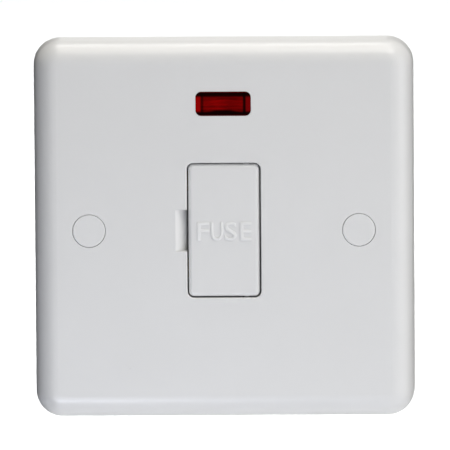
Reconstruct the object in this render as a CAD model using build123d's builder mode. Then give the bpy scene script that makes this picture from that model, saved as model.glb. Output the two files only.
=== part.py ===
from build123d import *

import os
from math import atan2, degrees, sqrt

# A single-gang fused connection unit with a neon indicator, in millimetres.
# The wall is the plane y = 0. X runs to the right, Z up, and the front faces -Y.
# The origin is the middle of the line between the two fixing holes, on the wall.

# Front plate
plate_width = 85.0
plate_height = 85.0
plate_depth = 10.0
plate_corner = 6.0
plate_edge_round = 5.0
plate_draft = 2.0
plate_wall = 2.3
skirt_wall = 1.4
rib_thickness = 1.5
rib_setback = 2.5

# The least radius of an inner corner, and the share of a corner that an edge's round may take up
least_corner = 0.4
round_share = 0.9

# Fixing holes and the caps that cover their screws
fixing_spacing = 60.3
fixing_hole_radius = 2.0
screw_seat_thickness = 3.0
pillar_wall = 1.9
cap_radius = 3.65
cap_gap = 0.1
cap_ledge = 0.35
cap_depth = 2.6
cap_skin = 0.9
cap_skirt = 0.7
cap_slit = 0.8
cap_edge_round = 0.2

# Cartridge fuse, standing upright
fuse_length = 25.4
fuse_radius = 3.175
fuse_cap_length = 5.8
fuse_cap_wall = 0.35
fuse_cap_fit = 0.02
fuse_cap_round = 0.5

# Fuse carrier, hinged about an upright axis near its right edge
lid_setback = 0.2
lid_thickness = 2.0
lid_corner = 1.2
lid_edge_round = 0.9
lid_gap = 0.3
lid_overhang = 0.7
lid_side_overhang = 1.175
cheek_thickness = 1.3
cheek_rim = 0.2
fuse_end_gap = 0.2
fuse_gap = 0.075
saddle_wall = 0.85
saddle_lip = 0.6
saddle_end_gap = 0.4
hinge_inset = 3.0
hinge_depth = 1.6
hinge_to_fuse = 7.7
trunnion_radius = 0.9
trunnion_gap = 0.05
trunnion_reach = 1.2
trunnion_end_gap = 0.2
trunnion_boss = 0.35

# Fuse well behind the carrier, and the pry notch at its left edge
well_wall = 1.5
aperture_round = 0.25
notch_height = 9.5
notch_width = 2.6
notch_depth = 3.0
notch_hollow = 0.3

# Sheet brass jaws that grip the fuse's end caps
sheet_thickness = 0.6
jaw_gap = 0.1
jaw_margin = 0.7
jaw_grip = 0.9
jaw_lip = 1.2
jaw_lip_angle = 45.0
slot_gap = 0.3

# Terminals: a bored brass block with a headless clamp screw
block_length = 8.0
block_width = 7.6
block_depth = 9.4
block_corner = 0.8
bore_radius = 2.4
bore_inset = 4.2
clamp_radius = 1.95
clamp_gap = 0.05
clamp_length = 6.0
clamp_lift = 0.2
clamp_chamfer = 0.4
clamp_slot_width = 0.8
clamp_slot_depth = 1.2
link_width = 6.0
link_overhang = 3.0
link_corner = 1.0

# Rear base
base_wall = 1.6
base_floor = 2.0
base_corner = 3.0
base_edge_round = 1.2
deck_gap = 0.1
deck_thickness = 1.4
strap_gap = 0.2
seat_thickness = 2.0
pocket_gap = 0.15
pocket_wall = 1.2
lead_channel = 4.1
earth_channel = 5.25
earth_rib = 1.05
entry_flare = 0.8
entry_corner = 1.5
access_flare = 0.65
hold_down_radius = 1.6
hold_down_gap = 0.1

# Screws that hold the base to the plate
post_radius = 3.0
post_inset = 0.6
base_screw_radius = 1.4
base_screw_gap = 0.2
pilot_gap = 0.05
base_screw_bite = 5.0
pilot_spare = 1.0
base_head_radius = 2.6
base_head_height = 1.9
base_head_gap = 0.3
base_head_sink = 0.4
base_head_round = 0.8
drive_width = 0.8
drive_length = 3.6
drive_depth = 1.1

# Neon indicator
lens_drop = 3.2
lens_width = 12.4
lens_height = 5.5
lens_corner = 1.3
lens_gap = 0.05
lens_wall = 0.9
lens_front_wall = 1.1
lens_depth = 3.6
flange_width = 1.2
flange_thickness = 0.8
ridge_count = 4
ridge_pitch = 0.8
ridge_height = 0.4
bulb_radius = 2.0
bulb_length = 9.0
bulb_foot_radius = 1.3
bulb_foot_length = 1.0
bulb_gap = 0.8
bay_gap = 0.3
cradle_gap = 0.1
cradle_drop = 2.0
cradle_wall = 1.0
cradle_window = 0.9
resistor_radius = 1.2
resistor_length = 6.3
resistor_round = 0.5
lead_radius = 0.6
lead_pitch = 1.3
lead_bend = 1.5
lead_gap = 0.2
lead_turn = 1.4
lead_cross_drop = 6.0

# Where the pieces meet, counted in y from the wall towards the back
front = -plate_depth
plate_inside = front + plate_wall
mid_wall = front + plate_wall / 2
lid_rear = front + lid_setback + lid_thickness
hinge_y = front + hinge_depth
fuse_y = lid_rear + fuse_gap + fuse_radius
jaw_inner = fuse_radius + jaw_gap
jaw_outer = jaw_inner + sheet_thickness
deck_front = fuse_y + jaw_outer + deck_gap
deck_rear = deck_front + deck_thickness
strap_front = deck_rear + strap_gap
strap_rear = strap_front + sheet_thickness
bore_y = strap_rear + bore_inset
block_rear = strap_rear + block_depth
clamp_top = bore_y + bore_radius + clamp_lift + clamp_length
floor_front = block_rear + seat_thickness
base_rear = floor_front + base_floor
lens_rear = front + lens_depth
flange_rear = plate_inside + flange_thickness
bulb_y = lens_rear + bulb_gap + bulb_radius
lead_y = strap_rear + lead_gap + lead_radius
pocket_front = lead_y + lead_radius + lead_gap

# Where they meet across and up the plate
lid_width = hinge_inset + hinge_to_fuse + fuse_radius + saddle_wall + lid_side_overhang
lid_height = fuse_length + 2 * (fuse_end_gap + cheek_thickness + lid_overhang)
hinge_x = lid_width / 2 - hinge_inset
fuse_x = hinge_x - hinge_to_fuse
aperture_width = lid_width + 2 * lid_gap
aperture_height = lid_height + 2 * lid_gap
well_width = aperture_width + 2 * well_wall
well_height = aperture_height + 2 * well_wall
cap_recess_radius = cap_radius + cap_gap
screw_well_radius = cap_recess_radius - cap_ledge
pillar_radius = cap_recess_radius + pillar_wall
jaw_z = (fuse_length - fuse_cap_length) / 2
jaw_width = fuse_cap_length - 2 * jaw_margin
block_inner_x = well_width / 2 + lead_channel
mouth_x = block_inner_x + block_length
mouth_z = well_height / 2 + earth_channel + block_length
base_width = 2 * (mouth_x + pocket_gap + base_wall)
base_height = 2 * (mouth_z + pocket_gap + base_wall)
earth_x = block_width / 2 + pocket_gap + pocket_wall + earth_rib
lead_x = well_width / 2 + (lead_channel - pocket_gap - pocket_wall) / 2
lens_rise = base_height / 2 - lens_drop
post_pitch_x = base_width - 2 * (base_wall + post_radius + post_inset)
post_pitch_z = base_height - 2 * (base_wall + post_radius + post_inset)
resistor_z = (lens_rise + jaw_z) / 2
cradle_x = lens_width / 2 + cradle_gap
bay_half = max(cradle_x + cradle_wall, lens_width / 2 + flange_width) + bay_gap
bay_top = lens_rise + lens_height / 2 + flange_width + bay_gap


def facing_front(y):
    """A plane parallel to the wall at y. What is extruded from it grows towards the front."""
    return Plane.XZ.offset(-y)


def facing_back(y, x=0, z=0):
    """A plane parallel to the wall at y. What is extruded from it grows towards the back."""
    return Plane(origin=(x, y, z), x_dir=(-1, 0, 0), z_dir=(0, 1, 0))


def cable_mouth(x, z, outward):
    """The face of a terminal block that the cable enters, centred on the bore."""
    return Plane(origin=(x, bore_y, z), x_dir=(0, 1, 0), z_dir=outward)


def over_block(mouth, y):
    """A plane at y that faces the front, centred on a terminal block and turned along its bore."""
    centre = mouth.origin - mouth.z_dir * (block_length / 2)
    return Plane(origin=(centre.X, y, centre.Z), x_dir=mouth.z_dir, z_dir=(0, -1, 0))


def pillow(width, height, depth, corner, round_radius):
    """A block that stands on the wall, with drafted sides and a rounded front edge."""
    with BuildPart() as block:
        with BuildSketch(facing_front(0)):
            RectangleRounded(width, height, corner)
        extrude(amount=depth)
        draft(block.faces().sort_by(Axis.Y)[1:-1], neutral_plane=facing_front(0), angle=plate_draft)
        fillet(block.faces().sort_by(Axis.Y)[0].edges(), radius=round_radius)
    return block.part


def save(piece, name):
    piece.label = name
    export_step(piece, f"parts/{name}.step")


mouths = {
    "supply_live": cable_mouth(-mouth_x, jaw_z, (-1, 0, 0)),
    "load_live": cable_mouth(-mouth_x, -jaw_z, (-1, 0, 0)),
    "supply_neutral": cable_mouth(mouth_x, jaw_z, (1, 0, 0)),
    "load_neutral": cable_mouth(mouth_x, -jaw_z, (1, 0, 0)),
    "supply_earth": cable_mouth(-earth_x, -mouth_z, (0, 0, -1)),
    "load_earth": cable_mouth(earth_x, -mouth_z, (0, 0, -1)),
}

os.makedirs("parts", exist_ok=True)

# Front plate: a drafted shell with rounded edges, open at the wall
edge_round = min(plate_edge_round, round_share * plate_corner)
plate_outside = pillow(plate_width, plate_height, plate_depth, plate_corner, edge_round)
plate_hollow = pillow(
    plate_width - 2 * plate_wall,
    plate_height - 2 * plate_wall,
    plate_depth - plate_wall,
    plate_corner - plate_wall,
    edge_round - plate_wall,
)
with BuildPart() as side_ribs:
    rib_length = (plate_width - plate_wall - fixing_spacing) / 2
    with BuildSketch(facing_front(-rib_setback)):
        with GridLocations(fixing_spacing + rib_length, 0, 2, 1):
            Rectangle(rib_length, rib_thickness)
    extrude(amount=-rib_setback - mid_wall)
    add(plate_outside, mode=Mode.INTERSECT)
with BuildPart() as front_plate:
    add(plate_outside)
    add(plate_hollow, mode=Mode.SUBTRACT)

    # A pillar for each fixing screw, with a rib out to the side wall
    with BuildSketch(facing_front(0)):
        with GridLocations(fixing_spacing, 0, 2, 1):
            Circle(pillar_radius)
    extrude(amount=-mid_wall)
    add(side_ribs.part)

    # The skirt that meets the rear base, with a bay round the lens; the fuse well and screw bosses
    skirt_corner = max(base_corner - skirt_wall, least_corner)
    with BuildSketch(facing_front(deck_front)):
        RectangleRounded(base_width, base_height, base_corner)
        with Locations((0, (bay_top + skirt_wall) / 2)):
            Rectangle(2 * (bay_half + skirt_wall), bay_top + skirt_wall)
        RectangleRounded(
            base_width - 2 * skirt_wall, base_height - 2 * skirt_wall, skirt_corner, mode=Mode.SUBTRACT
        )
        with Locations((0, bay_top / 2)):
            Rectangle(2 * bay_half, bay_top, mode=Mode.SUBTRACT)
        RectangleRounded(well_width, well_height, lid_corner + lid_gap + well_wall)
        with GridLocations(post_pitch_x, post_pitch_z, 2, 2):
            Circle(post_radius)
    extrude(amount=deck_front - mid_wall)

    # Posts that hold the terminals down in the base
    for mouth in mouths.values():
        with BuildSketch(over_block(mouth, strap_front - hold_down_gap)):
            Circle(hold_down_radius)
        extrude(amount=strap_front - hold_down_gap - mid_wall)

    # The carrier's aperture and hinge sockets, and the notch that a blade prises it by
    with BuildSketch(facing_front(deck_front)):
        RectangleRounded(aperture_width, aperture_height, lid_corner + lid_gap)
    extrude(amount=deck_front - front, mode=Mode.SUBTRACT)
    front_face = front_plate.faces().sort_by(Axis.Y)[0]
    fillet(front_face.inner_wires()[0].edges(), radius=aperture_round)
    with Locations((hinge_x, hinge_y, 0)):
        socket_reach = trunnion_reach + trunnion_end_gap
        Cylinder(trunnion_radius + trunnion_gap, aperture_height + 2 * socket_reach, mode=Mode.SUBTRACT)
    with BuildSketch(Plane.XY):
        with BuildLine():
            notch_edge = -aperture_width / 2
            outer_point = (notch_edge - notch_width, front)
            deep_point = (notch_edge, front + notch_depth)
            SagittaArc(outer_point, deep_point, -notch_hollow)
            Line(deep_point, (notch_edge, front))
            Line((notch_edge, front), outer_point)
        make_face()
    extrude(amount=notch_height / 2, both=True, mode=Mode.SUBTRACT)

    # The lens window, the stepped fixing holes and the pilot holes of the base screws
    with BuildSketch(facing_front(plate_inside)):
        with Locations((0, lens_rise)):
            RectangleRounded(lens_width, lens_height, lens_corner)
    extrude(amount=plate_wall, mode=Mode.SUBTRACT)
    with Locations(facing_front(front)):
        with GridLocations(fixing_spacing, 0, 2, 1):
            CounterBoreHole(fixing_hole_radius, screw_well_radius, plate_depth - screw_seat_thickness)
            Hole(cap_recess_radius, depth=cap_depth)
    with Locations(facing_back(deck_front)):
        with GridLocations(post_pitch_x, post_pitch_z, 2, 2):
            Hole(base_screw_radius + pilot_gap, depth=base_screw_bite + pilot_spare)
save(front_plate.part, "front_plate")

# Screw caps: a flush disc with a slit skirt that springs into the recess
for name, side in (("left_screw_cap", -1), ("right_screw_cap", 1)):
    cap_plane = facing_front(front + cap_depth)
    cap_plane.origin += Vector(side * fixing_spacing / 2, 0, 0)
    with BuildPart() as screw_cap:
        with BuildSketch(cap_plane):
            Circle(cap_radius)
        extrude(amount=cap_depth)
        fillet(screw_cap.faces().sort_by(Axis.Y)[0].edges(), radius=cap_edge_round)
        with BuildSketch(cap_plane):
            Circle(cap_radius - cap_skirt)
            Rectangle(2 * cap_radius + cap_slit, cap_slit)
            Rectangle(cap_slit, 2 * cap_radius + cap_slit)
        extrude(amount=cap_depth - cap_skin, mode=Mode.SUBTRACT)
    save(screw_cap.part, name)

# Fuse: a ceramic barrel with a brass cap pressed on each end
with BuildPart() as fuse_barrel:
    barrel_length = fuse_length - 2 * fuse_cap_wall
    with Locations((fuse_x, fuse_y, 0)):
        Cylinder(fuse_radius - fuse_cap_wall - fuse_cap_fit, barrel_length)
save(fuse_barrel.part, "fuse_barrel")

for name, end in (("fuse_cap_upper", 1), ("fuse_cap_lower", -1)):
    with BuildPart() as fuse_cap:
        with Locations((fuse_x, fuse_y, end * jaw_z)):
            Cylinder(fuse_radius, fuse_cap_length)
        tip = fuse_cap.faces().sort_by(Axis.Z)[-1 if end > 0 else 0]
        fillet(tip.edges(), radius=fuse_cap_round)
        with Locations((fuse_x, fuse_y, end * (jaw_z - fuse_cap_wall))):
            Cylinder(fuse_radius - fuse_cap_wall, fuse_cap_length, mode=Mode.SUBTRACT)
    save(fuse_cap.part, name)

# Fuse carrier: the lid, a cheek at each end of the fuse, a saddle round its barrel, the hinge pins
with BuildPart() as fuse_carrier:
    with BuildSketch(facing_front(lid_rear)):
        RectangleRounded(lid_width, lid_height, lid_corner)
    extrude(amount=lid_thickness)
    lid_rim = fuse_carrier.faces().sort_by(Axis.Y)[0].edges()
    fillet(lid_rim, radius=min(lid_edge_round, round_share * lid_corner))

    cheek_inner = fuse_length / 2 + fuse_end_gap
    for cheek_z in (cheek_inner, -cheek_inner - cheek_thickness):
        with BuildSketch(Plane.XY.offset(cheek_z)) as cheek:
            with Locations((hinge_x, hinge_y)):
                Circle(trunnion_radius + trunnion_boss)
            with Locations((fuse_x, fuse_y)):
                Circle(fuse_radius + cheek_rim)
            with Locations((fuse_x, lid_rear)):
                Rectangle(2 * fuse_radius, lid_thickness)
            make_hull(cheek.edges())
        extrude(amount=cheek_thickness)

    saddle_half = fuse_length / 2 - fuse_cap_length - saddle_end_gap
    with BuildSketch(Plane.XY):
        saddle_front = lid_rear - lid_thickness / 2
        saddle_rear = fuse_y + saddle_lip
        with Locations((fuse_x, (saddle_front + saddle_rear) / 2)):
            Rectangle(2 * (fuse_radius + saddle_wall), saddle_rear - saddle_front)
        with Locations((fuse_x, fuse_y)):
            Circle(fuse_radius + fuse_gap, mode=Mode.SUBTRACT)
    extrude(amount=saddle_half, both=True)

    pin_length = aperture_height / 2 + trunnion_reach - cheek_inner
    with Locations((hinge_x, hinge_y, cheek_inner)):
        Cylinder(trunnion_radius, pin_length, align=(Align.CENTER, Align.CENTER, Align.MIN))
    with Locations((hinge_x, hinge_y, -cheek_inner)):
        Cylinder(trunnion_radius, pin_length, align=(Align.CENTER, Align.CENTER, Align.MAX))
save(fuse_carrier.part, "fuse_carrier")

# Fuse jaws: a spring clip turned to face the way the fuse swings out, on a strap to its terminal
swing_out = -degrees(atan2(fuse_y - hinge_y, hinge_to_fuse))
for name, jaw_middle in (("supply_fuse_jaw", jaw_z), ("load_fuse_jaw", -jaw_z)):
    with BuildPart() as fuse_jaw:
        with BuildSketch(Plane.XY.offset(jaw_middle - jaw_width / 2)):
            with Locations((fuse_x, fuse_y)):
                Circle(jaw_outer)
                Circle(jaw_inner, mode=Mode.SUBTRACT)
            with Locations(Location((fuse_x, fuse_y, 0), (0, 0, swing_out))):
                with Locations((0, jaw_grip - jaw_outer)):
                    Rectangle(3 * jaw_outer, 2 * jaw_outer, mode=Mode.SUBTRACT)
                tip_x = sqrt((jaw_inner + sheet_thickness / 2) ** 2 - jaw_grip**2)
                for side in (-1, 1):
                    lip_middle = (side * (tip_x + jaw_lip / 4), jaw_grip - jaw_lip / 4, 0)
                    with Locations(Location(lip_middle, (0, 0, -side * jaw_lip_angle))):
                        Rectangle(jaw_lip, sheet_thickness)
            stem_front = fuse_y + jaw_inner + sheet_thickness / 2
            with Locations((fuse_x, (stem_front + strap_rear) / 2)):
                Rectangle(sheet_thickness, strap_rear - stem_front)
            strap_end = -mouth_x + link_corner
            strap_start = fuse_x + sheet_thickness / 2
            with Locations(((strap_start + strap_end) / 2, (strap_front + strap_rear) / 2)):
                Rectangle(strap_start - strap_end, sheet_thickness)
        extrude(amount=jaw_width)
    save(fuse_jaw.part, name)

# Terminal blocks and their clamp screws, backed off to leave the cable bore free
for name, mouth in mouths.items():
    with BuildPart() as terminal:
        with BuildSketch(over_block(mouth, block_rear)):
            RectangleRounded(block_length, block_width, block_corner)
        extrude(amount=block_depth)
        with Locations(mouth):
            Hole(bore_radius, depth=block_length)
        block_middle = over_block(mouth, block_rear).origin
        with Locations(facing_back(block_rear, block_middle.X, block_middle.Z)):
            Hole(clamp_radius + clamp_gap, depth=block_rear - bore_y)
    save(terminal.part, f"{name}_terminal")

    with BuildPart() as clamp_screw:
        with BuildSketch(over_block(mouth, clamp_top)):
            Circle(clamp_radius)
        extrude(amount=clamp_length)
        chamfer(clamp_screw.faces().sort_by(Axis.Y)[0].edges(), length=clamp_chamfer)
        with BuildSketch(over_block(mouth, clamp_top)):
            Rectangle(3 * clamp_radius, clamp_slot_width)
        extrude(amount=clamp_slot_depth, mode=Mode.SUBTRACT)
    save(clamp_screw.part, f"{name}_clamp_screw")

# Links: flat straps that join the two neutral blocks and the two earth blocks
with BuildPart() as neutral_link:
    with BuildSketch(facing_front(strap_rear)):
        with Locations((mouth_x - block_length / 2, 0)):
            RectangleRounded(link_width, 2 * (jaw_z + link_overhang), link_corner)
    extrude(amount=sheet_thickness)
save(neutral_link.part, "neutral_link")

with BuildPart() as earth_link:
    with BuildSketch(facing_front(strap_rear)):
        with Locations((0, -mouth_z + block_length / 2)):
            RectangleRounded(2 * (earth_x + link_overhang), link_width, link_corner)
    extrude(amount=sheet_thickness)
save(earth_link.part, "earth_link")

# Rear base: a tray with a pocket for each terminal and a deck that closes the fuse well
with BuildPart() as rear_base:
    with BuildSketch(facing_front(base_rear)):
        RectangleRounded(base_width, base_height, base_corner)
    extrude(amount=base_rear - deck_front)
    floor_rim = rear_base.faces().sort_by(Axis.Y)[-1].edges()
    fillet(floor_rim, radius=min(base_edge_round, round_share * base_corner))
    with BuildSketch(facing_front(floor_front)):
        tray_corner = max(base_corner - base_wall, least_corner)
        RectangleRounded(base_width - 2 * base_wall, base_height - 2 * base_wall, tray_corner)
    extrude(amount=floor_front - deck_front, mode=Mode.SUBTRACT)

    # Terminal seats and the pocket walls that stand round them
    pocket_length = block_length + 2 * pocket_gap
    pocket_width = block_width + 2 * pocket_gap
    for mouth in mouths.values():
        with BuildSketch(over_block(mouth, floor_front)):
            Rectangle(pocket_length + 2 * pocket_wall, pocket_width + 2 * pocket_wall)
        extrude(amount=floor_front - pocket_front)
        with BuildSketch(over_block(mouth, block_rear)):
            Rectangle(pocket_length, pocket_width)
        extrude(amount=block_rear - pocket_front, mode=Mode.SUBTRACT)

    # Deck behind the fuse, on walls above, below and to the right of it
    with BuildSketch(facing_front(floor_front)):
        Rectangle(well_width, well_height)
        with Locations((-well_wall, 0)):
            Rectangle(well_width, well_height - 2 * well_wall, mode=Mode.SUBTRACT)
    extrude(amount=floor_front - deck_rear)
    with BuildSketch(facing_front(deck_rear)):
        Rectangle(well_width, well_height)
        slot_right = fuse_x + sheet_thickness / 2 + slot_gap
        slot_length = slot_right + well_width / 2
        with Locations((slot_right - slot_length / 2, jaw_z), (slot_right - slot_length / 2, -jaw_z)):
            Rectangle(slot_length, jaw_width + 2 * slot_gap, mode=Mode.SUBTRACT)
    extrude(amount=deck_thickness)

    # Cradle for the neon: a shelf behind the bulb and a cheek at each end that backs up the lens
    cradle_bottom = lens_rise - cradle_drop
    cradle_top = bay_top - bay_gap
    cradle_middle = (cradle_bottom + cradle_top) / 2
    cradle_height = cradle_top - cradle_bottom
    shelf_front = bulb_y + bulb_radius + cradle_gap
    with BuildSketch(facing_front(deck_front + base_wall)):
        with Locations((0, cradle_middle)):
            Rectangle(2 * (cradle_x + cradle_wall), cradle_height)
    extrude(amount=deck_front + base_wall - shelf_front)
    with BuildSketch(facing_front(shelf_front)):
        with Locations((0, cradle_middle)):
            with GridLocations(2 * cradle_x + cradle_wall, 0, 2, 1):
                Rectangle(cradle_wall, cradle_height)
    extrude(amount=shelf_front - flange_rear - cradle_gap)
    with BuildSketch(Plane.YZ.offset(-cradle_x - cradle_wall)):
        window_top = lens_rise + lead_pitch / 2 + cradle_window
        with Locations((bulb_y, (cradle_bottom + window_top) / 2)):
            Rectangle(2 * cradle_window, window_top - cradle_bottom)
    extrude(amount=cradle_wall, mode=Mode.SUBTRACT)

    # Screw posts, cable entries that run out at the front, and the holes that a screwdriver goes
    # through to reach the clamp screws
    with BuildSketch(facing_front(floor_front)):
        with GridLocations(post_pitch_x, post_pitch_z, 2, 2):
            Circle(post_radius)
    extrude(amount=floor_front - deck_front)
    head_sink = base_head_height + base_head_sink
    with Locations(facing_back(base_rear)):
        with GridLocations(post_pitch_x, post_pitch_z, 2, 2):
            CounterBoreHole(base_screw_radius + base_screw_gap, base_head_radius + base_head_gap, head_sink)
    entry_half = bore_radius + entry_flare
    entry_height = block_rear - deck_front
    for mouth in mouths.values():
        with BuildSketch(mouth) as entry:
            with Locations((block_rear - bore_y - entry_height / 2, 0)):
                Rectangle(entry_height, 2 * entry_half)
            fillet(entry.vertices().group_by(Axis.X)[-1], radius=entry_corner)
        extrude(amount=pocket_gap + base_wall, mode=Mode.SUBTRACT)
        with BuildSketch(over_block(mouth, base_rear)):
            Circle(clamp_radius + access_flare)
        extrude(amount=base_rear - block_rear, mode=Mode.SUBTRACT)
save(rear_base.part, "rear_base")

# Base screws: four pan heads with a cross drive
with BuildPart() as base_screws:
    head_seat = base_rear - head_sink
    with BuildSketch(facing_front(head_seat + base_head_height)):
        with GridLocations(post_pitch_x, post_pitch_z, 2, 2):
            Circle(base_head_radius)
    extrude(amount=base_head_height)
    fillet(base_screws.faces().group_by(Axis.Y)[-1].edges(), radius=base_head_round)
    with BuildSketch(facing_front(head_seat)):
        with GridLocations(post_pitch_x, post_pitch_z, 2, 2):
            Circle(base_screw_radius)
    extrude(amount=head_seat - deck_front + base_screw_bite)
    with BuildSketch(facing_front(head_seat + base_head_height)):
        with GridLocations(post_pitch_x, post_pitch_z, 2, 2):
            Rectangle(drive_length, drive_width)
            Rectangle(drive_width, drive_length)
    extrude(amount=drive_depth, mode=Mode.SUBTRACT)
save(base_screws.part, "base_screws")

# Neon lens: a red box open at the back, flanged behind the plate and ridged inside
with BuildPart() as neon_lens:
    with BuildSketch(facing_front(lens_rear)):
        with Locations((0, lens_rise)):
            RectangleRounded(lens_width - 2 * lens_gap, lens_height - 2 * lens_gap, lens_corner - lens_gap)
    extrude(amount=lens_depth)
    with BuildSketch(facing_front(flange_rear)):
        with Locations((0, lens_rise)):
            RectangleRounded(
                lens_width + 2 * flange_width, lens_height + 2 * flange_width, lens_corner + flange_width
            )
    extrude(amount=flange_thickness)
    with BuildSketch(facing_front(lens_rear)):
        with Locations((0, lens_rise)):
            RectangleRounded(
                lens_width - 2 * (lens_gap + lens_wall),
                lens_height - 2 * (lens_gap + lens_wall),
                max(lens_corner - lens_gap - lens_wall, least_corner),
            )
    extrude(amount=lens_depth - lens_front_wall, mode=Mode.SUBTRACT)
    ridge_foot = front + lens_front_wall
    ridge_length = lens_width - 2 * (lens_gap + lens_wall)
    with BuildSketch(Plane.YZ.offset(-ridge_length / 2)):
        with Locations((ridge_foot, lens_rise)):
            with GridLocations(0, ridge_pitch, 1, ridge_count):
                Polygon((0, -ridge_pitch / 2), (ridge_height, 0), (0, ridge_pitch / 2), align=None)
    extrude(amount=ridge_length)
save(neon_lens.part, "neon_lens")

# Neon bulb: a glass tube with a domed end and a pinched foot that the leads come out of
with BuildPart() as neon_bulb:
    bulb_plane = Plane(origin=(0, bulb_y, lens_rise), x_dir=(1, 0, 0), z_dir=(0, -1, 0))
    with BuildSketch(bulb_plane):
        with BuildLine():
            foot = -bulb_length / 2
            shoulder = foot + bulb_foot_length
            dome = bulb_length / 2 - bulb_radius
            Polyline(
                (dome + bulb_radius, 0),
                (foot, 0),
                (foot, bulb_foot_radius),
                (shoulder, bulb_radius),
                (dome, bulb_radius),
            )
            TangentArc((dome, bulb_radius), (dome + bulb_radius, 0), tangent=(1, 0))
        make_face()
    revolve(axis=Axis((0, bulb_y, lens_rise), (1, 0, 0)))
save(neon_bulb.part, "neon_bulb")

with BuildPart() as neon_resistor:
    with Locations((-lead_x, lead_y, resistor_z)):
        Cylinder(resistor_radius, resistor_length)
    fillet(neon_resistor.edges().filter_by(GeomType.CIRCLE), radius=resistor_round)
save(neon_resistor.part, "neon_resistor")

# Leads: sleeved wire from the bulb through the resistor to the fused live, and to the neutral
live_z = lens_rise + lead_pitch / 2
neutral_z = lens_rise - lead_pitch / 2
turn_x = cradle_x + cradle_wall + lead_turn
cross_z = lens_rise - lead_cross_drop
live_to_resistor = [
    (-bulb_length / 2, bulb_y, live_z),
    (-lead_x, bulb_y, live_z),
    (-lead_x, lead_y, live_z),
    (-lead_x, lead_y, resistor_z + resistor_length / 2),
]
resistor_to_load = [
    (-lead_x, lead_y, resistor_z - resistor_length / 2),
    (-lead_x, lead_y, -jaw_z),
    (-block_inner_x, lead_y, -jaw_z),
]
bulb_to_neutral = [
    (-bulb_length / 2, bulb_y, neutral_z),
    (-turn_x, bulb_y, neutral_z),
    (-turn_x, bulb_y, cross_z),
    (lead_x, bulb_y, cross_z),
    (lead_x, lead_y, cross_z),
    (lead_x, lead_y, jaw_z),
    (block_inner_x, lead_y, jaw_z),
]
for name, runs in (
    ("neon_live_lead", [live_to_resistor, resistor_to_load]),
    ("neon_neutral_lead", [bulb_to_neutral]),
):
    with BuildPart() as lead:
        for run in runs:
            with BuildLine() as route:
                FilletPolyline(*run, radius=lead_bend)
            with BuildSketch(Plane(origin=route.line @ 0, z_dir=route.line % 0)):
                Circle(lead_radius)
            sweep(path=route.line)
    save(lead.part, name)
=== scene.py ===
from math import cos, radians, sin

import bmesh
import bpy
from mathutils import Matrix, Vector


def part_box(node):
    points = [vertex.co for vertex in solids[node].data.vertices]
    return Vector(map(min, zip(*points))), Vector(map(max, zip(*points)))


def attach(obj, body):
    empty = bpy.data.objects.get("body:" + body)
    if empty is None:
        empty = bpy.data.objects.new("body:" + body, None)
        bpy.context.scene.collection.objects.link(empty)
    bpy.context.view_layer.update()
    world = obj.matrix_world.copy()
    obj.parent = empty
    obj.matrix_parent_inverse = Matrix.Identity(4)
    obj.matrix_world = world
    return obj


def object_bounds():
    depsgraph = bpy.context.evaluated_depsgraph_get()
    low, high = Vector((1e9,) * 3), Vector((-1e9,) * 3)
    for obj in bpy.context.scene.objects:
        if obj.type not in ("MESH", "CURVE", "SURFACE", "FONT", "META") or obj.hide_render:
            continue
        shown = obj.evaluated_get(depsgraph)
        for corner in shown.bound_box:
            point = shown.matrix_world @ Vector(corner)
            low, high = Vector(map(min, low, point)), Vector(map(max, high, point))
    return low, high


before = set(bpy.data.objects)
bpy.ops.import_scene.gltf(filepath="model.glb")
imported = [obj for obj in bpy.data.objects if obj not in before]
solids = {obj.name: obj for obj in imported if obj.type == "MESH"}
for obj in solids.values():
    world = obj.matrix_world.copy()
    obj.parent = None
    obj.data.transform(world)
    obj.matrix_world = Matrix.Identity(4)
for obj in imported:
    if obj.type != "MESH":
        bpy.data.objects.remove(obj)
cad_low, cad_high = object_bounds()
MM = 0.001

# Sockets of a Mix node that mixes colours
MIX_SHARE, MIX_FIRST, MIX_SECOND, MIX_RESULT = 0, 6, 7, 2


class Wire:
    """A socket in a finish. Arithmetic on it adds Math nodes."""

    def __init__(self, finish, socket):
        self.finish = finish
        self.socket = socket

    def maths(self, operation, *values):
        return self.finish.node("ShaderNodeMath", {"operation": operation}, dict(enumerate(values)))

    def __add__(self, other):
        return self.maths("ADD", self, other)

    def __radd__(self, other):
        return self.maths("ADD", other, self)

    def __sub__(self, other):
        return self.maths("SUBTRACT", self, other)

    def __rsub__(self, other):
        return self.maths("SUBTRACT", other, self)

    def __mul__(self, other):
        return self.maths("MULTIPLY", self, other)

    def __rmul__(self, other):
        return self.maths("MULTIPLY", other, self)

    def __truediv__(self, other):
        return self.maths("DIVIDE", self, other)

    def __rtruediv__(self, other):
        return self.maths("DIVIDE", other, self)

    def __mod__(self, other):
        return self.maths("FLOORED_MODULO", self, other)

    def __rmod__(self, other):
        return self.maths("FLOORED_MODULO", other, self)

    def __abs__(self):
        return self.maths("ABSOLUTE", self)


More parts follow.
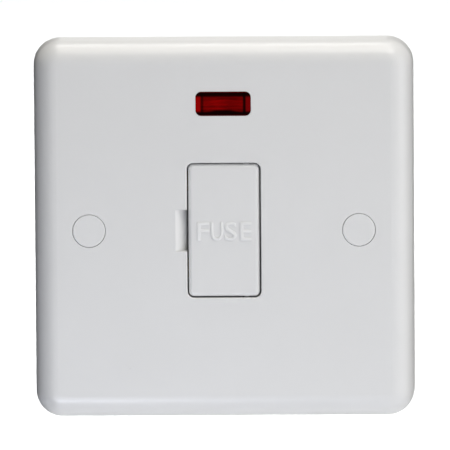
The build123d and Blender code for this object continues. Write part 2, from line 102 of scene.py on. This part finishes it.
class Finish:
    """A surface finish: a material with one surface shader and the nodes that feed it."""

    def __init__(self, name, **plain):
        self.material = bpy.data.materials.new(name)
        self.material.use_nodes = True
        self.tree = self.material.node_tree
        self.surface = self.tree.nodes["Principled BSDF"]
        for socket, value in plain.items():
            self.surface.inputs[socket.replace("_", " ")].default_value = value

    def node(self, kind, settings, inputs, output=0):
        """A node of any kind: its settings first, then the values or wires of its sockets."""
        made = self.tree.nodes.new(kind)
        for name, value in settings.items():
            setattr(made, name, value)
        for name, value in inputs.items():
            self.feed(made.inputs[name], value)
        return Wire(self, made.outputs[output])

    def feed(self, socket, value):
        if isinstance(value, Wire):
            self.tree.links.new(value.socket, socket)
        else:
            socket.default_value = value

    def give(self, socket, value):
        self.feed(self.surface.inputs[socket], value)

    def place(self):
        """Where a point of the piece is, in millimetres."""
        where = self.node("ShaderNodeTexCoord", {}, {}, "Object")
        return self.node("ShaderNodeVectorMath", {"operation": "SCALE"}, {0: where, "Scale": 1 / MM})

    def axis(self, where, letter):
        return self.node("ShaderNodeSeparateXYZ", {}, {0: where}, letter)

    def stretch(self, where, factors):
        return self.node("ShaderNodeVectorMath", {"operation": "MULTIPLY"}, {0: where, 1: factors})

    def noise(self, where, per_mm, detail=2.0):
        inputs = {"Vector": where, "Scale": per_mm, "Detail": detail, "Roughness": 0.55}
        return self.node("ShaderNodeTexNoise", {}, inputs)

    def mix(self, share, first, second):
        inputs = {MIX_SHARE: share, MIX_FIRST: first, MIX_SECOND: second}
        return self.node("ShaderNodeMix", {"data_type": "RGBA"}, inputs, MIX_RESULT)

    def smooth_step(self, value, nought, full):
        """0 at nought, 1 at full and smooth between. Either may be the larger."""
        inputs = {"Value": value, "From Min": nought, "From Max": full, "To Min": 0.0, "To Max": 1.0}
        return self.node("ShaderNodeMapRange", {"interpolation_type": "SMOOTHSTEP"}, inputs)

    def bump(self, height, depth_mm):
        inputs = {"Height": height, "Distance": depth_mm * MM, "Strength": 1.0}
        self.give("Normal", self.node("ShaderNodeBump", {}, inputs))


class Sky(Finish):
    """The light all round the studio, fed by the same kinds of node."""

    def __init__(self, name):
        self.world = bpy.data.worlds.new(name)
        self.world.use_nodes = True
        self.tree = self.world.node_tree
        self.surface = self.tree.nodes["Background"]


def shade(colour, factor=1.0):
    """A colour made lighter or darker, with full alpha."""
    return tuple(min(1.0, c * factor) for c in colour) + (1.0,)


def swing(noise, reach):
    """A noise of 0 to 1 as a swing either side of nought."""
    return (noise - 0.5) * reach


def moulded_white(name, colour, gloss, painted_shade_past_z=None):
    """A white moulding with a satin gloss: faint clouding, a fine orange peel, uneven polish.

    Hinge pins, past a height from the middle in millimetres, are painted dark: painted shade where they show
    in the gap round the lid."""
    finish = Finish(name, IOR=1.5)
    where = finish.place()
    cloud = finish.noise(where, per_mm=0.07, detail=3.0)
    peel = finish.noise(where, per_mm=1.6)
    tint = finish.mix(cloud, shade(colour, 0.985), shade(colour, 1.012))
    # Painted shade: the hinge pins are darkened where they show in the gap round the lid
    if painted_shade_past_z:
        height = abs(finish.axis(where, "Z"))
        pins = finish.smooth_step(height, nought=painted_shade_past_z, full=painted_shade_past_z + 0.1)
        tint = finish.mix(pins, tint, shade(colour, 0.08))
    finish.give("Base Color", tint)
    finish.give("Roughness", gloss + swing(cloud, 0.10) + swing(peel, 0.06))
    finish.bump(peel, depth_mm=0.006)
    return finish.material


def matt_moulding(name, colour):
    """The rear moulding: spark-eroded matt, with faint flow clouding."""
    finish = Finish(name, IOR=1.48)
    where = finish.place()
    cloud = finish.noise(where, per_mm=0.12, detail=3.0)
    grain = finish.noise(where, per_mm=5.0, detail=3.0)
    finish.give("Base Color", finish.mix(cloud, shade(colour, 0.95), shade(colour, 1.03)))
    finish.give("Roughness", 0.52 + swing(grain, 0.25))
    finish.bump(grain, depth_mm=0.03)
    return finish.material


def cut_metal(name, colour, along, roughness, tarnish):
    """Sawn, turned or pressed metal: fine lines along one way and a patchy tarnish."""
    finish = Finish(name)
    where = finish.place()
    lines = finish.noise(finish.stretch(where, along), per_mm=3.0, detail=3.0)
    patch = finish.noise(where, per_mm=0.35, detail=3.0)
    spots = finish.smooth_step(patch, nought=0.45, full=0.75)
    finish.give("Metallic", 1.0)
    finish.give("Base Color", finish.mix(spots * tarnish, shade(colour), shade(colour, 0.62)))
    finish.give("Roughness", roughness + swing(lines, 0.22) + spots * 0.12)
    finish.bump(lines, depth_mm=0.012)
    return finish.material


def fired_ceramic(name, colour):
    """The fuse's barrel: a dry, slightly grainy off-white."""
    finish = Finish(name, IOR=1.55)
    where = finish.place()
    cloud = finish.noise(where, per_mm=0.4, detail=3.0)
    grain = finish.noise(where, per_mm=7.0)
    finish.give("Base Color", finish.mix(cloud, shade(colour, 0.92), shade(colour, 1.05)))
    finish.give("Roughness", 0.6 + swing(grain, 0.3))
    finish.bump(grain, depth_mm=0.02)
    return finish.material


def banded_lacquer(name, body, bands, low, high):
    """A resistor's lacquer with colour bands round it, counted along z from one end to the other."""
    finish = Finish(name, IOR=1.5)
    where = finish.place()
    along = (finish.axis(where, "Z") - low) / (high - low)
    colour = finish.mix(finish.noise(where, per_mm=0.8), shade(body, 0.9), shade(body, 1.06))
    for middle, band in bands:
        inside = finish.smooth_step(abs(along - middle), nought=0.05, full=0.04)
        colour = finish.mix(inside, colour, shade(band))
    finish.give("Base Color", colour)
    finish.give("Roughness", 0.3 + finish.noise(where, per_mm=2.0) * 0.1)
    return finish.material


def sleeving(name, colour):
    """Soft sleeving on a lead: uneven in colour, with a fine skin."""
    finish = Finish(name, IOR=1.5)
    where = finish.place()
    cloud = finish.noise(where, per_mm=0.5, detail=3.0)
    finish.give("Base Color", finish.mix(cloud, shade(colour, 0.85), shade(colour, 1.15)))
    finish.give("Roughness", 0.4 + cloud * 0.15)
    finish.bump(finish.noise(where, per_mm=4.0), depth_mm=0.02)
    return finish.material


def bulb_glass(name, clear, smoky):
    """Clear glass with a faint warm haze."""
    finish = Finish(name, IOR=1.5, Transmission_Weight=1.0)
    where = finish.place()
    haze = finish.noise(where, per_mm=0.4)
    finish.give("Base Color", finish.mix(haze, shade(clear), shade(smoky)))
    finish.give("Roughness", 0.03 + haze * 0.05)
    return finish.material


def ribbed_lens(name, centre_z):
    """Dark red plastic, with light through it painted on: lighter level ridges and streaks behind the face,
    painted shade on the walls above and below, painted light at the redder ends.

    Places on the lens are in millimetres from its middle."""
    dim_red = (0.05, 0.0, 0.0)
    lit_red = (0.27, 0.001, 0.001)
    left_end_light_red = (0.30, 0.0012, 0.001)
    right_end_light_red = (0.17, 0.0012, 0.002)
    end_shade_red = (0.010, 0.0, 0.0)
    wall_shade_red = (0.003, 0.0, 0.0)
    rim_light_red = (0.09, 0.003, 0.003)
    ridge_pitch = 0.8
    end_shade_x = 4.75
    arch_height = 0.35

    finish = Finish(name, IOR=1.5, Specular_IOR_Level=0.02)
    where = finish.place()
    x = finish.axis(where, "X")
    rise = finish.axis(where, "Z") - centre_z

    # Painted light on the face: lighter level ridges, streaks along them and a painted glow across the
    # middle
    half_pitch = ridge_pitch / 2
    ridge = abs((rise + half_pitch / 2) % ridge_pitch - half_pitch) / half_pitch
    streak = finish.noise(finish.stretch(where, (0.2, 1.0, 1.3)), per_mm=1.2, detail=3.0)
    glow = finish.smooth_step(abs(rise), nought=1.7, full=0.2)
    light = 0.16 + ridge * 0.32 + glow * 0.32 + swing(streak, 1.8)
    face = finish.mix(light, shade(dim_red), shade(lit_red))

    # Painted shade in an upright line near each end, darker at the right, and painted light in a redder end
    # past it
    end_shade_line = finish.smooth_step(abs(abs(x) - end_shade_x), nought=0.55, full=0.15)
    end_shade_depth = 0.72 + finish.smooth_step(x, nought=-1.0, full=1.0) * 0.26
    face = finish.mix(end_shade_line * end_shade_depth, face, shade(end_shade_red))
    at_right = finish.smooth_step(x, nought=0.0, full=1.0)
    end_light_red = finish.mix(at_right, shade(left_end_light_red), shade(right_end_light_red))
    face = finish.mix(finish.smooth_step(abs(x), nought=4.9, full=5.3), face, end_light_red)

    # Painted shade on the wall above and below, the lower one arched, and painted light in a thin redder rim
    # past each
    arch = finish.smooth_step(abs(x), nought=4.2, full=1.1) * arch_height
    upper_wall_shade = finish.smooth_step(rise, nought=1.2, full=1.95)
    lower_wall_shade = finish.smooth_step(arch - rise, nought=1.4, full=2.05)
    face = finish.mix((upper_wall_shade + lower_wall_shade) * 0.98, face, shade(wall_shade_red))
    face = finish.mix(finish.smooth_step(abs(rise), nought=2.45, full=2.6), face, shade(rim_light_red))

    finish.give("Base Color", face)
    finish.give("Roughness", 0.16 + swing(streak, 0.1))
    return finish.material


def pale_floor(name, darker, lighter):
    """The studio floor: matt and very slightly clouded."""
    finish = Finish(name)
    cloud = finish.noise(finish.place(), per_mm=0.002)
    finish.give("Base Color", finish.mix(cloud, shade(darker), shade(lighter)))
    finish.give("Roughness", 0.8 + cloud * 0.1)
    return finish.material


def dress(material, *names):
    for name in names:
        for place in solids[name].material_slots:
            place.material = material


# Finishes of the front
white = (0.76, 0.76, 0.757)
satin = 0.31
lid_half_height = 14.9
plate_white = moulded_white("plate_white", white, satin)
# The carrier's hinge pins past the lid's half height get painted shade where they show in the gap
carrier_white = moulded_white("carrier_white", shade(white, 1.01)[:3], satin, lid_half_height)
# Painted light: the raised letters are 7% lighter than the plate because they catch more light
painted_light_letter_white = moulded_white("painted_light_letter_white", shade(white, 1.07)[:3], satin)
cap_white = moulded_white("cap_white", shade(white, 0.995)[:3], gloss=0.45)

# Finishes behind it, with the saw, press or lathe lines drawn out along one axis
along_x = (0.15, 1.0, 1.0)
along_y = (1.0, 0.2, 1.0)
along_z = (1.0, 1.0, 0.2)
base_white = matt_moulding("base_white", (0.72, 0.72, 0.70))
block_brass = cut_metal("block_brass", (0.71, 0.52, 0.22), along_x, roughness=0.32, tarnish=0.7)
strip_brass = cut_metal("strip_brass", (0.78, 0.60, 0.29), along_x, roughness=0.26, tarnish=0.5)
plated_cap = cut_metal("plated_cap", (0.72, 0.69, 0.62), along_z, roughness=0.24, tarnish=0.4)
zinc = cut_metal("zinc", (0.66, 0.67, 0.68), along_y, roughness=0.34, tarnish=0.5)
barrel_ceramic = fired_ceramic("barrel_ceramic", (0.80, 0.76, 0.66))
resistor_low, resistor_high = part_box("neon_resistor")
resistor_bands = [
    (0.2, (0.25, 0.1, 0.04)),
    (0.38, (0.3, 0.12, 0.05)),
    (0.55, (0.75, 0.6, 0.1)),
    (0.8, (0.6, 0.45, 0.15)),
]
lacquer = banded_lacquer(
    "resistor_lacquer",
    (0.62, 0.50, 0.34),
    resistor_bands,
    resistor_low.z / MM,
    resistor_high.z / MM,
)
lens_low, lens_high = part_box("neon_lens")
lens_centre_z = (lens_low.z + lens_high.z) / 2 / MM

dress(plate_white, "front_plate")
dress(carrier_white, "fuse_carrier")
dress(cap_white, "left_screw_cap", "right_screw_cap")
dress(base_white, "rear_base")
dress(ribbed_lens("red_lens", lens_centre_z), "neon_lens")
dress(bulb_glass("neon_glass", clear=(1.0, 0.93, 0.88), smoky=(0.95, 0.85, 0.8)), "neon_bulb")
dress(lacquer, "neon_resistor")
dress(sleeving("brown_sleeve", (0.30, 0.12, 0.05)), "neon_live_lead")
dress(sleeving("blue_sleeve", (0.06, 0.16, 0.45)), "neon_neutral_lead")
dress(strip_brass, "supply_fuse_jaw", "load_fuse_jaw", "neutral_link", "earth_link")
dress(plated_cap, "fuse_cap_upper", "fuse_cap_lower")
dress(barrel_ceramic, "fuse_barrel")
dress(zinc, "base_screws")
for side in ("supply", "load"):
    for core in ("live", "neutral", "earth"):
        dress(block_brass, f"{side}_{core}_terminal")
        dress(zinc, f"{side}_{core}_clamp_screw")


# The raised word on the carrier, one letter at a time
def letter_outline(letter):
    """The letter as flat faces in x and y, with its strokes made a little heavier."""
    text = bpy.data.curves.new(f"letter_{letter}", "FONT")
    text.body = letter
    text.size = 1.0
    text.offset = 0.012
    text.resolution_u = 6
    text_object = bpy.data.objects.new(f"letter_{letter}_outline", text)
    outline = bpy.data.meshes.new_from_object(text_object)
    bpy.data.objects.remove(text_object)
    shape = bmesh.new()
    shape.from_mesh(outline)
    bpy.data.meshes.remove(outline)
    straight = radians(0.5)
    bmesh.ops.dissolve_limit(shape, angle_limit=straight, verts=shape.verts[:], edges=shape.edges[:])
    return shape


def raised_letter(letter, left, right, foot, head, face, rise):
    """A moulded letter that stands off the face y = face towards the front, fitted into its box."""
    shape = letter_outline(letter)
    xs = [v.co.x for v in shape.verts]
    ys = [v.co.y for v in shape.verts]
    across = (right - left) / (max(xs) - min(xs))
    up = (head - foot) / (max(ys) - min(ys))
    for v in shape.verts:
        v.co = Vector((left + (v.co.x - min(xs)) * across, face, foot + (v.co.y - min(ys)) * up))
    made = bmesh.ops.extrude_face_region(shape, geom=shape.faces[:])
    for v in made["geom"]:
        if isinstance(v, bmesh.types.BMVert):
            v.co.y -= rise
    bmesh.ops.recalc_face_normals(shape, faces=shape.faces[:])
    mesh = bpy.data.meshes.new(f"letter_{letter}")
    shape.to_mesh(mesh)
    shape.free()
    mesh.materials.append(painted_light_letter_white)
    piece = bpy.data.objects.new(f"letter_{letter}", mesh)
    bpy.context.collection.objects.link(piece)
    soft = piece.modifiers.new("soft_edge", "BEVEL")
    soft.width = 0.08 * MM
    soft.segments = 2
    soft.limit_method = "ANGLE"
    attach(piece, "carrier")


carrier_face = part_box("fuse_carrier")[0].y
word_foot = -2.29 * MM
word_head = 1.88 * MM
sink = 0.05 * MM
stand = 0.19 * MM
for letter, left, right in (
    ("F", -6.01, -3.37),
    ("U", -2.97, -0.27),
    ("S", 0.11, 2.77),
    ("E", 3.57, 6.19),
):
    raised_letter(letter, left * MM, right * MM, word_foot, word_head, carrier_face + sink, sink + stand)


# Studio: a pale floor and sky, a dark card at each side, and soft lights behind, above and in front
def flat_sheet(name, corners, material):
    mesh = bpy.data.meshes.new(name)
    mesh.from_pydata(corners, [], [(0, 1, 2, 3)])
    mesh.materials.append(material)
    sheet = bpy.data.objects.new(name, mesh)
    bpy.context.collection.objects.link(sheet)
    return sheet


def side_card(name, material, x, near, rear, foot, head):
    """An upright card beside the object that the camera doesn't see. It darkens the plate's rim."""
    corners = [(x, near, foot), (x, rear, foot), (x, rear, head), (x, near, head)]
    flat_sheet(name, corners, material).visible_camera = False


def area_light(name, spot, size, watts, colour, aim=(0.0, 0.0, 0.0), spread=180.0):
    """A soft oval light that the camera doesn't see, with its spread in degrees."""
    lamp = bpy.data.lights.new(name, "AREA")
    lamp.shape = "ELLIPSE"
    lamp.size, lamp.size_y = size
    lamp.energy = watts
    lamp.color = colour
    lamp.spread = radians(spread)
    holder = bpy.data.objects.new(name, lamp)
    bpy.context.collection.objects.link(holder)
    holder.location = spot
    holder.visible_camera = False
    holder.rotation_euler = (Vector(aim) - Vector(spot)).to_track_quat("-Z", "Y").to_euler()


floor_z = -0.25
reach = 15.0
flat_sheet(
    "floor",
    [(-reach, -reach, floor_z), (reach, -reach, floor_z), (reach, reach, floor_z), (-reach, reach, floor_z)],
    pale_floor("pale_floor", darker=(0.90, 0.90, 0.90), lighter=(0.93, 0.93, 0.93)),
)

dark_card = Finish("dark_card", Base_Color=(0.02, 0.02, 0.02, 1.0), Roughness=0.9).material
side_card("left_card", dark_card, x=-0.12, near=-0.10, rear=0.5, foot=-0.22, head=0.45)
side_card("right_card", dark_card, x=0.12, near=0.0, rear=0.5, foot=-0.10, head=0.45)

pale_below = (0.88, 0.88, 0.88)
dim_above = (0.205, 0.213, 0.22)
sky = Sky("sky")
upward = sky.axis(sky.node("ShaderNodeTexCoord", {}, {}, "Generated"), "Z")
above = sky.smooth_step(upward, nought=-0.02, full=0.0)
sky.give("Color", sky.mix(above, shade(pale_below), shade(dim_above)))
bpy.context.scene.world = sky.world

area_light(
    "backdrop",
    spot=(0.0, 1.9, 3.0),
    aim=(0.0, 1.9, floor_z),
    size=(2.4, 2.4),
    watts=22.0,
    colour=(1.0, 1.0, 1.0),
    spread=60.0,
)
area_light(
    "rear",
    spot=(0.0, 1.0, -0.18),
    size=(0.12, 0.12),
    watts=0.075,
    colour=(1.0, 0.985, 0.96),
    spread=30.0,
)
area_light(
    "white_behind",
    spot=(-0.02, 1.2, 0.52),
    aim=(0.0, 0.0, 0.02),
    size=(0.2, 1.0),
    watts=0.4,
    colour=(1.0, 0.99, 0.96),
)
area_light("overhead", spot=(0.12, -0.18, 1.30), size=(0.7, 1.3), watts=8.4, colour=(1.0, 0.965, 0.90))
area_light("key", spot=(0.50, -1.05, 2.00), size=(1.2, 1.2), watts=15.6, colour=(1.0, 0.98, 0.94))
area_light("right_fill", spot=(0.5, -0.25, 0.08), size=(0.4, 0.4), watts=0.78, colour=(0.99, 0.985, 1.0))
area_light(
    "low_fill",
    spot=(-0.07, -0.26, -0.19),
    aim=(-0.02, 0.0, -0.03),
    size=(0.12, 0.10),
    watts=0.29,
    colour=(0.82, 0.865, 1.0),
)

# Camera: a little above level and a long way off, aimed just above the middle of the plate's face
picture_px = 450
sensor_mm = 36.0
frame_width = 100.5 * MM
far = 2.8
azimuth = radians(0.9)
elevation = radians(7.5)
roll = radians(0.42)
aim_right_px = 1.0
aim_up_px = 5.5
pixel = frame_width / picture_px
face_centre = Vector((0.0, cad_low.y, 0.0))
back = Vector((sin(azimuth) * cos(elevation), -cos(azimuth) * cos(elevation), sin(elevation)))
turn = (-back).to_track_quat("-Z", "Y").to_matrix() @ Matrix.Rotation(-roll, 3, "Z")
aim = face_centre + turn @ Vector((aim_right_px * pixel, aim_up_px * pixel, 0.0))
camera_lens = bpy.data.cameras.new("camera")
camera_lens.sensor_width = sensor_mm
camera_lens.lens = sensor_mm * far / frame_width
camera_lens.clip_start = 0.1
camera_lens.clip_end = 100.0
camera = bpy.data.objects.new("camera", camera_lens)
bpy.context.collection.objects.link(camera)
camera.matrix_world = Matrix.Translation(aim + back * far) @ turn.to_4x4()
bpy.context.scene.camera = camera
bpy.context.scene.view_settings.view_transform = "Standard"
